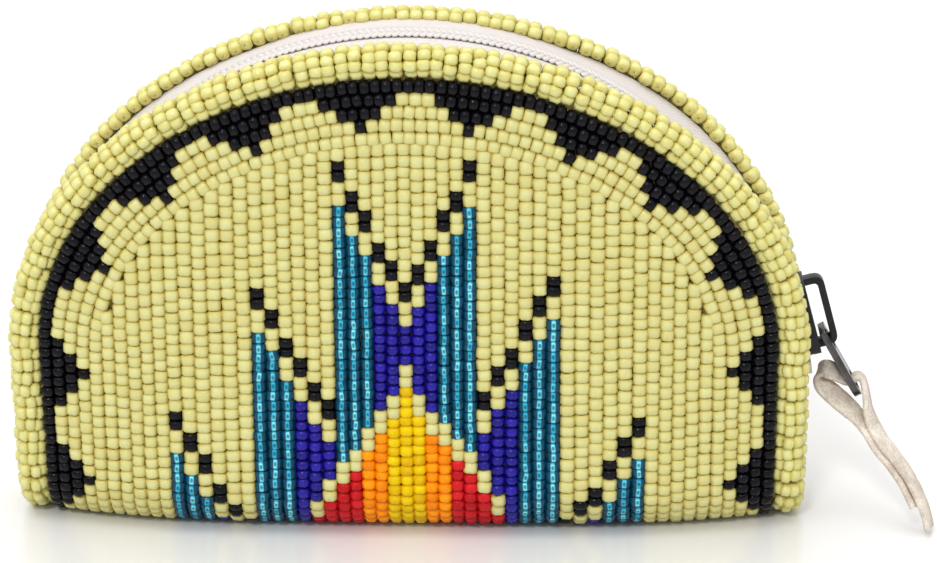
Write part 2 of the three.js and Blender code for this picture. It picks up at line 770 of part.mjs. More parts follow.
// Leather thong: a slack loop inside the tab, through the eye, and a tail down to the table.
// Loop points are in lifts of the strand off the tab: along its normal, down its length, forwards.
const strandLift = tabThickness / 2 + seatGap + thongDiameter / 2;
const loopPoints = [
  [-1.17, 4.54, 1.27], [-1.57, 3.8, 0.98], [-2.19, 2.4, 0.59], [-2.49, 1.16, 0.29], [-2.06, 0.29, 0.1],
  [-1.32, 0, 0], [0, 0, 0], [0.76, 0.24, 0], [1, 0.8, 0], [0.93, 1.66, 0.15], [0.65, 2.82, 0.59],
];

function leatherThong() {
  purse.updateMatrixWorld(true);
  const route = loopPoints.map(([lift, down, forward]) => {
    const local = new THREE.Vector3(eyeAt + down * strandLift, -forward * strandLift, lift * strandLift);
    return pullGroup.localToWorld(local);
  });
  const eye = pullGroup.localToWorld(new THREE.Vector3(eyeAt, 0, 0));
  const tip = new THREE.Vector3(eye.x + tailReach, -tailForward, thongDiameter / 2 + seatGap);
  const tailStart = route[route.length - 1];
  const sag = new THREE.Vector3(0, 0, -thongDiameter * 0.7);
  route.push(tailStart.clone().lerp(tip, 0.35).addScaledVector(sag, 0.7));
  route.push(tailStart.clone().lerp(tip, 0.7).add(sag), tip);
  const curve = new THREE.CatmullRomCurve3(route, false, 'centripetal');
  const steps = 36;
  const sides = 8;
  const frames = curve.computeFrenetFrames(steps, false);
  const section = Array.from({ length: sides }, (_, i) => {
    const angle = 2 * Math.PI * i / sides;
    return new THREE.Vector2(Math.cos(angle), Math.sin(angle)).multiplyScalar(thongDiameter / 2);
  });
  const rings = Array.from({ length: steps + 1 }, (_, i) => section.map((point) => curve
    .getPointAt(i / steps)
    .addScaledVector(frames.normals[i], point.x)
    .addScaledVector(frames.binormals[i], point.y)));
  return loft(rings, section);
}

addPiece(purse, 'leather_thong', leatherThong(), finishes.thong);

export default purse;
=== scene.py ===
import math
import bpy
import numpy as np
from mathutils import Matrix, Vector


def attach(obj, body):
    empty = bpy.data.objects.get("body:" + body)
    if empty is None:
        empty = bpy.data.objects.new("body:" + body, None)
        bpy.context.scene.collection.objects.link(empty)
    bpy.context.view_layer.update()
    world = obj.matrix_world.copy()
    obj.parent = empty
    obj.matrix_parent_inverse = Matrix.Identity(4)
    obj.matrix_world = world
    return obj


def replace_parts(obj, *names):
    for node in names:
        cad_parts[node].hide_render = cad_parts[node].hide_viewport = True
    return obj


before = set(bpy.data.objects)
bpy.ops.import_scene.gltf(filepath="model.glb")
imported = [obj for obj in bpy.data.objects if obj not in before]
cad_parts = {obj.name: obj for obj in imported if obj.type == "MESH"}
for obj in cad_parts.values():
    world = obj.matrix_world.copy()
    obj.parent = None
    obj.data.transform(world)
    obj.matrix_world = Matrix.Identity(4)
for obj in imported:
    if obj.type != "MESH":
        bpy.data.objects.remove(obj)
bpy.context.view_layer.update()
bpy.ops.object.select_all(action="DESELECT")
print("frame loaded:", len(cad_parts), "nodes")

mm = 0.001  # sizes below are in millimetres, and go into meshes in metres
quarter = math.pi / 2
dice = np.random.default_rng(41)


# Camera at the photograph's angle

cameraSetup = {
    "azimuth": 2.8,
    "elevation": 19.2,
    "roll": -0.6,
    "aim": (0.0, 0.0, 38.0),
    "distance": 503.0,
    "lens": 120.8,
    "sensor": 36.0,
    "shiftX": 0.0633,
    "shiftY": 0.0041,
    "nearest": 10.0,
}


def placeCamera(setup):
    turn = math.radians(setup["azimuth"])
    lift = math.radians(setup["elevation"])
    ahead = Vector((-math.sin(turn) * math.cos(lift), math.cos(turn) * math.cos(lift), -math.sin(lift)))
    right = Vector((math.cos(turn), math.sin(turn), 0))
    pose = Matrix((right, right.cross(ahead), -ahead)).transposed().to_4x4()
    pose = pose @ Matrix.Rotation(math.radians(setup["roll"]), 4, "Z")
    pose.translation = (Vector(setup["aim"]) - ahead * setup["distance"]) * mm
    bpy.ops.object.camera_add()
    camera = bpy.context.object
    camera.matrix_world = pose
    camera.data.lens = setup["lens"]
    camera.data.sensor_width = setup["sensor"]
    camera.data.shift_x = setup["shiftX"]
    camera.data.shift_y = setup["shiftY"]
    camera.data.clip_start = setup["nearest"] * mm
    bpy.context.scene.camera = camera


placeCamera(cameraSetup)
print("camera placed")


# Shader maths: a wrapped socket, and one method for every other node

class Wire:
    def __init__(self, finish, socket):
        self.finish = finish
        self.socket = socket

    def calc(self, operation, *values):
        return self.finish.node("ShaderNodeMath", {"operation": operation}, *values)

    def __add__(self, other):
        return self.calc("ADD", self, other)

    def __radd__(self, other):
        return self.calc("ADD", other, self)

    def __sub__(self, other):
        return self.calc("SUBTRACT", self, other)

    def __rsub__(self, other):
        return self.calc("SUBTRACT", other, self)

    def __mul__(self, other):
        return self.calc("MULTIPLY", self, other)

    def __rmul__(self, other):
        return self.calc("MULTIPLY", other, self)

    def __abs__(self):
        return self.calc("ABSOLUTE", self)

    def sine(self):
        return self.calc("SINE", self)

    def angleFrom(self, other):
        return self.calc("ARCTAN2", self, other)

    def ramp(self, low, high):
        settings = {"interpolation_type": "SMOOTHSTEP", "clamp": True}
        return self.finish.node("ShaderNodeMapRange", settings, self, low, high, 0.0, 1.0)

    def mixed(self, first, second):
        return self.finish.node("ShaderNodeMix", {"data_type": "RGBA"}, Factor=self, A=first, B=second)


class Finish:  # the nodes of a material, or of the world
    def __init__(self, owner, shader="Principled BSDF"):
        owner.use_nodes = True
        self.owner = owner
        self.tree = owner.node_tree
        self.shader = self.tree.nodes[shader]

    def feed(self, socket, value):
        if isinstance(value, Wire):
            self.tree.links.new(value.socket, socket)
        elif socket.type == "RGBA":
            socket.default_value = (*value, 1.0)
        else:
            socket.default_value = value

    def node(self, kind, settings=None, *values, output=0, **named):
        node = self.tree.nodes.new(kind)
        for key, value in (settings or {}).items():
            setattr(node, key, value)
        inputs = {socket.name: socket for socket in node.inputs if socket.enabled}
        for socket, value in zip(node.inputs, values):
            self.feed(socket, value)
        for key, value in named.items():
            self.feed(inputs[key], value)
        live = [socket for socket in node.outputs if socket.enabled]
        return Wire(self, node.outputs[output] if isinstance(output, str) else live[output])

    def attribute(self, name, output="Fac"):
        return self.node("ShaderNodeAttribute", {"attribute_name": name}, output=output)

    def place(self, kind="Object"):
        return self.node("ShaderNodeTexCoord", output=kind)

    def noise(self, scale, detail=3.0, rough=0.55):
        sockets = {"Vector": self.place(), "Scale": scale, "Detail": detail, "Roughness": rough}
        return self.node("ShaderNodeTexNoise", **sockets)

    def parts(self, vector):
        split = self.node("ShaderNodeSeparateXYZ", None, vector)
        return [Wire(self, socket) for socket in split.socket.node.outputs]

    def bump(self, height, strength, distance):
        return self.node("ShaderNodeBump", Strength=strength, Distance=distance * mm, Height=height)

    def dress(self, sockets):
        for key, value in sockets.items():
            self.feed(self.shader.inputs[key], value)
        return self.owner


def newFinish(name):
    return Finish(bpy.data.materials.new(name))


# Modelling steps that several pieces share

def pickUp(piece):
    bpy.ops.object.select_all(action="DESELECT")
    piece.select_set(True)
    bpy.context.view_layer.objects.active = piece


def selectParts(solid, kind, test):  # edges or faces that pass the test, in edit mode
    bpy.ops.object.mode_set(mode="EDIT")
    bpy.ops.mesh.select_mode(type=kind)
    bpy.ops.mesh.select_all(action="DESELECT")
    bpy.ops.object.mode_set(mode="OBJECT")
    for part in solid.data.edges if kind == "EDGE" else solid.data.polygons:
        part.select = test(part)
    bpy.ops.object.mode_set(mode="EDIT")


def turnOutwards(piece, merge=None):
    pickUp(piece)
    bpy.ops.object.mode_set(mode="EDIT")
    bpy.ops.mesh.select_all(action="SELECT")
    if merge:
        bpy.ops.mesh.remove_doubles(threshold=merge * mm)
    bpy.ops.mesh.normals_make_consistent(inside=False)
    bpy.ops.object.mode_set(mode="OBJECT")


def smoothShade(degrees):
    bpy.ops.object.shade_smooth_by_angle(angle=math.radians(degrees))


def addBlock(size):
    bpy.ops.object.select_all(action="DESELECT")
    bpy.ops.mesh.primitive_cube_add(size=1, scale=size)
    bpy.ops.object.transform_apply(scale=True)
    return bpy.context.object


def takeShape(model):  # a small shape's points and faces, to be copied
    points = np.array([vertex.co for vertex in model.data.vertices])
    faces = [tuple(face.vertices) for face in model.data.polygons]
    bpy.data.objects.remove(model)
    return points, faces


def copiedFaces(faces, points, count):
    return [[i + k * points for i in face] for k in range(count) for face in faces]


def newMesh(name, points, faces, material):
    mesh = bpy.data.meshes.new(name)
    mesh.from_pydata((np.asarray(points) * mm).tolist(), [], faces)
    mesh.materials.append(material)
    piece = bpy.data.objects.new(name, mesh)
    bpy.context.scene.collection.objects.link(piece)
    mesh.polygons.foreach_set("use_smooth", np.ones(len(mesh.polygons), bool))
    return piece


def unit(rows):
    return rows / np.linalg.norm(rows, axis=1, keepdims=True)


def strides(line):
    return np.linalg.norm(np.diff(line, axis=0), axis=1)


def lengthAlong(line):
    return np.concatenate([[0], np.cumsum(strides(line))])


# Bead finishes: each bead carries its own tone, and its own place from the middle of the bead

beadColours = {
    "pale": {
        # edge: colour of the painted shade towards each bead's ends and sides; beads without one use deep
        "light": (0.62, 0.61, 0.265), "deep": (0.585, 0.54, 0.20), "edge": (0.53, 0.435, 0.105),
        "rough": 0.36, "coat": 0.08, "shine": 0.4,
    },
    "rim": {
        # the same yellow beads as the pale field, painted a little lighter as lit from above on the edge
        # rolls; edge is their painted shade colour
        "light": (0.665, 0.655, 0.275), "deep": (0.60, 0.565, 0.20), "edge": (0.59, 0.51, 0.13),
        "rough": 0.34, "coat": 0.1, "shine": 0.4,
    },
    "black": {
        "light": (0.006, 0.005, 0.008), "deep": (0.002, 0.002, 0.003),
        "rough": 0.0, "coat": 0.0, "shine": 0.14,
    },
    "blue": {
        "light": (0.018, 0.010, 0.33), "deep": (0.006, 0.004, 0.15),
        "rough": 0.1, "coat": 0.0, "shine": 0.24,
    },
    "sun": {
        "light": (0.80, 0.575, 0.0), "deep": (0.65, 0.38, 0.0),
        "rough": 0.28, "coat": 0.04, "shine": 0.14,
    },
    "orange": {
        "light": (0.95, 0.33, 0.0), "deep": (0.77, 0.19, 0.0),
        "rough": 0.28, "coat": 0.04, "shine": 0.14,
    },
    "red": {
        "light": (0.64, 0.012, 0.016), "deep": (0.40, 0.004, 0.007),
        "rough": 0.28, "coat": 0.04, "shine": 0.14,
    },
}
beadGlaze = {
    "grain": 900.0,
    "toneShare": 0.6,  # from bead to bead
    "cloudShare": 1.3,  # within a bead
    "base": 0.25,
    # painted shade: spans and depth of the darkening towards each bead's ends and sides
    "endShadeSpan": (0.45, 0.95),
    "sideShadeSpan": (0.52, 0.95),
    "edgeShadeDepth": 0.65,
    "mottle": 0.12,
    "coatRough": 0.08,
    "bump": (0.25, 0.1),  # strength, and height in mm
}


def opaqueBead(name, look, glaze):
    finish = newFinish(name)
    tone = finish.attribute("beadTone")
    _, across, along = finish.parts(finish.attribute("beadPlace", "Vector"))
    cloud = finish.noise(glaze["grain"])
    shade = tone * glaze["toneShare"] + (cloud - 0.5) * glaze["cloudShare"] + glaze["base"]
    body = shade.ramp(0.0, 1.0).mixed(look["deep"], look["light"])
    paintedEdgeShade = abs(along).ramp(*glaze["endShadeSpan"]) + abs(across).ramp(*glaze["sideShadeSpan"])  # painted shade towards each bead's ends and sides, where beads meet
    return finish.dress({
        "Base Color": (paintedEdgeShade * glaze["edgeShadeDepth"]).mixed(body, look.get("edge", look["deep"])),
        "Roughness": look["rough"] + cloud * glaze["mottle"],
        "Coat Weight": look["coat"],
        "Coat Roughness": glaze["coatRough"],
        "Specular IOR Level": look["shine"],
        "Normal": finish.bump(cloud, *glaze["bump"]),
    })


tealLook = {
    "glass": (0.0005, 0.055, 0.115),
    "deep": (0.0, 0.04, 0.072),
    # core and glint: colours of the painted reflection of the silver lining
    "reflectedCore": (0.015, 0.44, 0.66),
    "glint": (0.18, 0.80, 0.93),
    "grain": 1400.0,
    "line": (0.22, 0.46),  # painted reflection: the silvered hole shows as a bright line
    "waver": 0.12,
    # the painted reflection lies on the bead's outward side
    "front": (-0.1, 0.5),
    "hollow": (0.35, 0.9),  # the painted reflection is darker in its middle
    "hollowShape": (14.0, 3.2),  # across and along the bead
    "hollowDepth": 0.75,
    "ends": (0.6, 0.9),
    "endDepth": 0.7,
    "glintShare": (0.75, 1.35),
    "rough": 0.1,
    "mottle": 0.1,
    "shine": 0.3,
}


def linedBead(name, look):
    finish = newFinish(name)
    tone = finish.attribute("beadTone")
    out, across, along = finish.parts(finish.attribute("beadPlace", "Vector"))
    cloud = finish.noise(look["grain"])
    reflectedCore = 1 - (abs(across) + cloud * look["waver"]).ramp(*look["line"])
    bowl = across * across * look["hollowShape"][0] + along * along * look["hollowShape"][1]
    hollow = 1 - bowl.ramp(*look["hollow"])
    ends = abs(along).ramp(*look["ends"])
    # painted reflection of the silver lining: bright on the outward side, darker in the hollow's middle and
    # towards the bead's ends
    lit = reflectedCore * out.ramp(*look["front"]) * (1 - hollow * look["hollowDepth"]) * (1 - ends * look["endDepth"])
    glass = tone.mixed(look["deep"], look["glass"])
    paintedReflection = (tone + cloud).ramp(*look["glintShare"]).mixed(look["reflectedCore"], look["glint"])
    return finish.dress({
        "Base Color": lit.mixed(glass, paintedReflection),
        "Roughness": look["rough"] + cloud * look["mottle"],
        "Specular IOR Level": look["shine"],
    })


beadFinishes = {key: opaqueBead(key + "Bead", look, beadGlaze) for key, look in beadColours.items()}
beadFinishes["teal"] = linedBead("tealBead", tealLook)
print("bead finishes made")


# The pouch's own shape, as in the solids

pouch = {
    "halfWidth": 63.5,
    "sideTop": 30.0,
    "archRise": 51.0,
    "topHalf": 11.5,
    "foldRadius": 6.0,
    "rollRadius": 2.8,
    "wrapOnto": 48,  # degrees of the edge roll that lie on the face
    "seat": 0.3,
    "zipHalf": 7.4,
    "bulge": 4,  # power of the face's curve towards its sides
}
pouch["wrapReach"] = pouch["rollRadius"] * math.sin(math.radians(pouch["wrapOnto"]))
pouch["faceInset"] = pouch["rollRadius"] + pouch["wrapReach"] + pouch["seat"]
pouch["faceHalf"] = pouch["halfWidth"] - pouch["faceInset"]
pouch["foldCentre"] = pouch["rollRadius"] + pouch["foldRadius"]
pouch["top"] = pouch["sideTop"] + pouch["archRise"]
pouch["sheetHalf"] = pouch["halfWidth"] - pouch["rollRadius"]  # the cut edge is the middle of the roll
pouch["sheetRise"] = pouch["archRise"] - pouch["rollRadius"]

zipper = {"top": 79.2, "parkX": 60.5, "parkHeight": 33.0, "sliderLength": 12.4, "sliderGap": 0.4, "stop": 2.0}
zipper["drop"] = zipper["top"] - zipper["parkHeight"]
zipper["radius"] = (zipper["parkX"] ** 2 + zipper["drop"] ** 2) / (2 * zipper["drop"])
zipper["centre"] = zipper["top"] - zipper["radius"]
zipper["park"] = math.atan2(zipper["parkX"], zipper["parkHeight"] - zipper["centre"])
zipper["coilEnd"] = zipper["park"] + (zipper["sliderLength"] / 2 + zipper["sliderGap"]) / zipper["radius"]
zipper["stopEnd"] = zipper["coilEnd"] + (zipper["stop"] + 2 * pouch["seat"]) / zipper["radius"]
zipper["foot"] = zipper["centre"] + zipper["radius"] * math.cos(zipper["stopEnd"])


def edgeHalf(z):
    upper = np.interp(z, [zipper["foot"], pouch["top"]], [pouch["zipHalf"], pouch["topHalf"]])
    lower = np.interp(z, [pouch["foldCentre"], zipper["foot"]], [pouch["foldRadius"], pouch["zipHalf"]])
    return np.where(z >= zipper["foot"], upper, lower)


def sheetDepth(x, z):
    edge = edgeHalf(z)
    share = np.minimum(1, np.abs(x) / pouch["faceHalf"])
    return edge + (pouch["topHalf"] - edge) * (1 - share ** pouch["bulge"])


def depthAt(x, z):
    return float(sheetDepth(np.array(x), np.array(z)))


def facePoint(x, run, lift):  # run is the height, and goes on round the fold and under it
    centre = pouch["foldCentre"]
    radius = pouch["foldRadius"] + lift
    turn = np.clip((centre - run) / radius, 0, quarter)
    under = np.maximum(0, centre - run - radius * quarter)
    flat = sheetDepth(x, np.full_like(x, centre)) - pouch["foldRadius"]
    folded = flat + radius * np.cos(turn) - under
    upright = sheetDepth(x, np.maximum(run, centre)) + lift
    depth = np.where(run >= centre, upright, folded)
    height = np.where(run >= centre, run, centre - radius * np.sin(turn))
    return np.stack([x, -depth, height], 1)


def faceFrames(x, run, lift):
    step = 0.05
    places = facePoint(x, run, lift)
    across = unit(facePoint(x + step, run, lift) - facePoint(x - step, run, lift))
    along = unit(facePoint(x, run + step, lift) - facePoint(x, run - step, lift))
    return places, across, along, np.cross(across, along)


def lowestRun(x, lift):  # where a string reaches the middle of the underside
    centre = pouch["foldCentre"]
    flat = depthAt(x, centre) - pouch["foldRadius"]
    return centre - (pouch["foldRadius"] + lift) * quarter - flat


def archPoint(q, inset):  # q goes on down the straight sides
    turn = np.minimum(np.abs(q), quarter)
    beyond = np.maximum(0, np.abs(q) - quarter)
    x = np.sign(q) * (pouch["halfWidth"] - inset) * np.sin(turn)
    z = pouch["sideTop"] + (pouch["archRise"] - inset) * np.cos(turn) - beyond * pouch["archRise"]
    return x, z


# One bead of each make: a block with its edges eased, bored through, then strung

beads = {
    "lift": 1.76,  # middle of a bead above the middle of the sheet
    "table": 1.2,  # lowest middle of a bead under the fold
    "press": 1.02,  # beads of a string press on each other
    "tilt": 0.07,
    "jitter": 0.04,
    "girth": 0.025,  # spread of their thickness
    "lengthSpread": 0.045,
}
beadMakes = {
    "matte": {"across": 2.14, "length": 1.86, "corner": 0.52, "bevel": 0.27, "hole": 0.3},
    "rim": {"across": 2.08, "length": 1.9, "corner": 0.5, "bevel": 0.4, "hole": 0.12, "tilt": 0.13},
    "glass": {"across": 2.16, "length": 1.66, "corner": 0.66, "bevel": 0.44, "hole": 0.2, "press": 1.05},
    "warm": {"across": 2.22, "length": 1.66, "corner": 0.6, "bevel": 0.4, "hole": 0.2, "press": 1.12},
    "jet": {"across": 2.2, "length": 1.7, "corner": 0.62, "bevel": 0.42, "hole": 0.2},
    "cut": {"across": 2.04, "length": 1.68, "corner": 0.5, "bevel": 0.2, "hole": 0.3},
}
makeOf = {
    "pale": "matte", "rim": "rim", "black": "jet", "teal": "cut", "blue": "glass",
    "sun": "warm", "orange": "warm", "red": "warm",
}


def shapedBead(make):
    half = make["across"] / 2
    bead = addBlock((make["across"], make["across"], make["length"]))

    def alongString(edge):
        a, b = (bead.data.vertices[i].co for i in edge.vertices)
        return abs(a.z - b.z) > make["length"] / 2

    def roundEnd(edge):  # further out than midway between the hole and the outside
        corners = [bead.data.vertices[i].co for i in edge.vertices]
        outside = min(max(abs(p.x), abs(p.y)) for p in corners) > half * (1 + make["hole"]) / 2
        return outside and not alongString(edge)

    selectParts(bead, "EDGE", alongString)
    bpy.ops.mesh.bevel(offset=make["corner"], segments=1)
    selectParts(bead, "FACE", lambda face: abs(face.normal.z) > 0.5)  # both ends
    bpy.ops.mesh.inset(thickness=half * (1 - make["hole"]), use_individual=True)
    bpy.ops.mesh.delete(type="FACE")
    bpy.ops.mesh.select_mode(type="EDGE")
    bpy.ops.mesh.select_all(action="DESELECT")
    bpy.ops.mesh.select_non_manifold()
    bpy.ops.mesh.bridge_edge_loops()  # the hole's wall
    selectParts(bead, "EDGE", roundEnd)
    bpy.ops.mesh.bevel(offset=make["bevel"], segments=1)
    bpy.ops.object.mode_set(mode="OBJECT")
    turnOutwards(bead)
    return takeShape(bead)


for make in beadMakes.values():
    make["points"], make["faces"] = shapedBead(make)
print("bead faces:", {kind: len(make["faces"]) for kind, make in beadMakes.items()})


def makeFor(colour):
    return beadMakes[makeOf[colour]]


def stringBeads(name, colour, places, alongs, normals, stretch, widen):
    make = makeFor(colour)
    count = len(places)
    tilts = dice.normal(0, make.get("tilt", beads["tilt"]), (count, 2))
    normals = unit(normals + tilts[:, :1] * alongs)
    sides = unit(np.cross(alongs, normals) + tilts[:, 1:] * alongs)
    axes = np.cross(normals, sides)
    places = places + dice.normal(0, beads["jitter"], (count, 3))
    girth = 1 + dice.normal(0, beads["girth"], (count, 1, 1))
    out, across, along = (make["points"][None, :, i, None] for i in range(3))
    points = places[:, None] + girth * (
        out * normals[:, None] + across * widen[:, None, None] * sides[:, None])
    points = points + along * stretch[:, None, None] * axes[:, None]
    step = len(make["points"])
    faces = copiedFaces(make["faces"], step, count)
    piece = newMesh(name, points.reshape(-1, 3), faces, beadFinishes[colour])
    tones = np.repeat(dice.random(count), step).astype(np.float32)
    beadTone = piece.data.attributes.new("beadTone", "FLOAT", "POINT")
    beadTone.data.foreach_set("value", tones)
    half = np.array([make["across"] / 2, make["across"] / 2, make["length"] / 2])
    inside = np.tile(make["points"] / half, (count, 1)).astype(np.float32)
    beadPlace = piece.data.attributes.new("beadPlace", "FLOAT_VECTOR", "POINT")
    beadPlace.data.foreach_set("vector", inside.ravel())
    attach(piece, "purse")
    return piece


# Border rows along the arch: black to a scalloped line, then one whole row of yellow

border = {
    "pitch": 2.05,
    "points": [  # along the guide row, from the middle of the arch
        -109, -92.6, -74, -55.1, -39.3, -23.1, -6.5, 10, 26.1, 40.7, 55.9, 72.9, 92.4, 109,
    ],
    "guideRow": 3,
    "black": [None, 7, 4, 1, 0],  # black beads of each row at a point, and None for a whole black row
    "beyond": 1.1,  # how far the rows go on down the sides
    "stations": 2400,
    "lowest": 1 / 3,  # of a bead's length, from the middle of the underside to its own middle
}


def rowInset(row):
    return pouch["faceInset"] + (row + 0.5) * border["pitch"]


def archTable(inset):
    q = np.linspace(0, quarter + border["beyond"], border["stations"])
    return q, lengthAlong(np.stack(archPoint(q, inset), 1))


def layRun(colour, start, end):
    count = max(1, round((end - start) / makeFor(colour)["length"]))
    stride = (end - start) / count
    return [(colour, start + (k + 0.5) * stride, stride) for k in range(count)]


def layBorder():  # colour, place along the arch, inset and length of each bead
    laid = []
    guideQ, guideLength = archTable(rowInset(border["guideRow"]))
    for row, black in enumerate(border["black"]):
        inset = rowInset(row)
        q, length = archTable(inset)
        points = []
        for spot in border["points"]:
            turn = np.interp(abs(spot), guideLength, guideQ)
            points.append(math.copysign(np.interp(turn, q, length), spot))
        runs = []
        if black:
            half = black * makeFor("black")["length"] / 2
            for here, following in zip(points, points[1:]):
                runs += layRun("black", here - half, here + half)
                runs += layRun("pale", here + half, following - half)
        else:
            runs = layRun("pale" if black == 0 else "black", points[0], points[-1])
        for colour, spot, stride in runs:
            turn = math.copysign(np.interp(abs(spot), length, q), spot)
            laid.append((colour, turn, inset, stride))
    return laid


# Upright strings of the field

pattern = {
    "strings": 22,  # on each side of the middle one
    "marks": [0, 5, 11, 17, 22],
    "places": [0, 10.1, 23.1, 36.6, 47.0],  # of the marked strings, from the middle
    "pitch": 2.05,  # at which a bead isn't widened
    "group": 6,  # strings to a step of the pattern, the first of them blue
    "blueStrings": 3,
    "sunColours": ["sun", "sun", "orange", "orange", "red", "red", "red", "red"],
    "sunRight": [26.6, 21.5, 17.8, 15.9, 14.2, 11.1, 7.8, 4.1],  # top of each string of the sun
    "sunLeft": [26.6, 21.2, 18.3, 14.8, 11.1, 9.2, 6.3, 3.1],
    "feetRight": [35.8, 18.2, -4.9],  # top of each group's innermost string
    "feetLeft": [35.8, 16.0, -5.4],
    "fieldStep": 3.88,
    "lineBeads": 2,
    "startSpread": 0.6,
    "stepRoom": 0.9,  # least room for one more bead below a step
    "topRoom": 1.2,  # and below the border
    "tuck": 0.3,
    "eased": 6,  # the last beads close up to the border
}
pattern["topInset"] = pouch["faceInset"] + len(border["black"]) * border["pitch"]


def stringColours(string):  # colour, and the height where it ends or the count of its beads, upwards
    place = abs(string)
    group, inGroup = divmod(place, pattern["group"])
    side = "Left" if string < 0 else "Right"
    feet, sunTops = pattern["feet" + side], pattern["sun" + side]
    if group >= len(feet):
        return []
    line = pattern["lineBeads"]
    steps = []
    if place < len(sunTops):
        steps += [(pattern["sunColours"][place], sunTops[place], None), ("pale", None, line)]
    field = "blue" if inGroup < pattern["blueStrings"] else "teal"
    steps.append((field, feet[group] + pattern["fieldStep"] * inGroup, None))
    return steps + [("pale", None, line), ("black", None, line)]


def layString(string):  # colour, place, height, length and widening of each bead
    place = abs(string)
    inner, middle, outer = (
        float(np.interp(place + half, pattern["marks"], pattern["places"])) for half in (-0.5, 0, 0.5))
    x = math.copysign(middle, string)
    widen = (outer - inner) / pattern["pitch"] if 0 < place < pattern["strings"] else 1.0
    share = min(1, middle / (pouch["halfWidth"] - pattern["topInset"]))
    limit = pouch["sideTop"] + (pouch["archRise"] - pattern["topInset"]) * math.sqrt(1 - share * share)
    run = lowestRun(x, beads["lift"]) + dice.random() * pattern["startSpread"]
    laid = []

    def lay(colour):
        nonlocal run
        length = makeFor(colour)["length"] * (1 + dice.normal(0, beads["lengthSpread"]))
        laid.append((colour, x, run + length / 2, length, widen))
        run += length

    for colour, height, count in stringColours(string):
        while count is None and run + pattern["stepRoom"] < height:
            lay(colour)
        for _ in range(count or 0):
            lay(colour)
    while run + pattern["topRoom"] < limit:
        lay("pale")
    eased = pattern["eased"]
    spare = (limit + pattern["tuck"] - run) / eased
    for k, (colour, _, height, length, _) in enumerate(laid[-eased:]):
        laid[k - eased] = (colour, x, height + spare * (k + 0.5), length + spare, widen)
    return laid


def strungFace(back):
    sets = {}
    for string in range(-pattern["strings"], pattern["strings"] + 1):
        for colour, x, run, length, widen in layString(string):
            sets.setdefault(colour, []).append((x, run, 0.0, length, widen))
    step = 0.002
    for colour, turn, inset, length in layBorder():
        x, run = (float(v) for v in archPoint(np.array(turn), inset))
        aheadX, aheadZ = archPoint(np.array([turn - step, turn + step]), inset)
        heading = math.atan2(float(aheadX[1] - aheadX[0]), float(aheadZ[1] - aheadZ[0]))
        if run > lowestRun(x, beads["lift"]) + length * border["lowest"]:
            sets.setdefault(colour, []).append((x, run, heading, length, 1.0))
    side = "Back" if back else "Front"
    flip = np.array([1, -1 if back else 1, 1])
    pieces = {}
    for colour, rows in sets.items():
        x, run, heading, length, widen = (np.array(v) for v in zip(*rows))
        places, across, along, normals = faceFrames(x, run, beads["lift"])
        places[:, 2] = np.maximum(places[:, 2], beads["table"])
        axes = across * np.sin(heading)[:, None] + along * np.cos(heading)[:, None]
        make = makeFor(colour)
        stretch = length / make["length"] * make.get("press", beads["press"])
        pieces[colour] = stringBeads(
            colour + "Beads" + side, colour, places * flip, axes * flip, normals * flip, stretch, widen)
    return pieces


frontBeads = strungFace(False)
backBeads = strungFace(True)
fieldNodes = {
    "pale": ["ground"],
    "black": ["border"],
    "blue": ["blue_centre", "blue_middle_left", "blue_middle_right"],
    "teal": [
        "teal_inner_left", "teal_inner_right", "teal_middle_left", "teal_middle_right",
        "teal_outer_left", "teal_outer_right",
    ],
    "sun": ["sun_yellow"],
    "orange": ["sun_orange_left", "sun_orange_right"],
    "red": ["sun_red_left", "sun_red_right"],
}
for colour, nodes in fieldNodes.items():
    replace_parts(frontBeads[colour], *[node + "_front" for node in nodes])
    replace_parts(backBeads[colour], *[node + "_back" for node in nodes])
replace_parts(frontBeads["pale"], "fold_beads")
print("faces strung:", {colour: len(piece.data.polygons) for colour, piece in frontBeads.items()})


# Edge rolls: wraps of five beads over the sheet's edge, sewn less evenly than the faces

edgeWrap = {
    "pitch": 2.08,
    "spacing": 0.06,  # spread of the pitch
    "radius": 1.78,
    "angles": [-46, -4, 38, 80, 122],
    "wander": 7.0,  # degrees that a whole wrap slips by
    "slip": 2.6,  # degrees that one bead slips by
    "rise": 0.09,  # off the edge, and along it
    "slide": 0.1,
    "stretch": 0.88,
    "foldStations": 40,
    "archStations": 700,
    "foldTop": 0.02,  # where the fold's stations stop short of the sides
}


def edgePath():  # places, ways off the face and ways off the edge, from under one side to the other
    rows = []
    centre = pouch["foldCentre"]

    def foldStation(side, turn):
        face = np.array([0, -math.cos(turn), -math.sin(turn)])
        spot = np.array([side * pouch["sheetHalf"], 0, centre]) + pouch["foldRadius"] * face
        rows.append((spot, face, np.array([side, 0.0, 0.0])))

    upwards = np.linspace(quarter, edgeWrap["foldTop"], edgeWrap["foldStations"])
    for turn in upwards:
        foldStation(-1, turn)
    reach = quarter + (pouch["sideTop"] - centre) / pouch["archRise"]
    for q in np.linspace(-reach, reach, edgeWrap["archStations"]):
        x, z = (float(v) for v in archPoint(np.array(q), pouch["rollRadius"]))
        turn = min(abs(q), quarter)
        outX = math.copysign(math.sin(turn), q) / pouch["sheetHalf"]
        out = np.array([outX, 0, math.cos(turn) / pouch["sheetRise"]])
        spot = np.array([x, -depthAt(x, z), z])
        rows.append((spot, np.array([0.0, -1.0, 0.0]), out / np.linalg.norm(out)))
    for turn in reversed(upwards):
        foldStation(1, turn)
    return [np.array(column) for column in zip(*rows)]


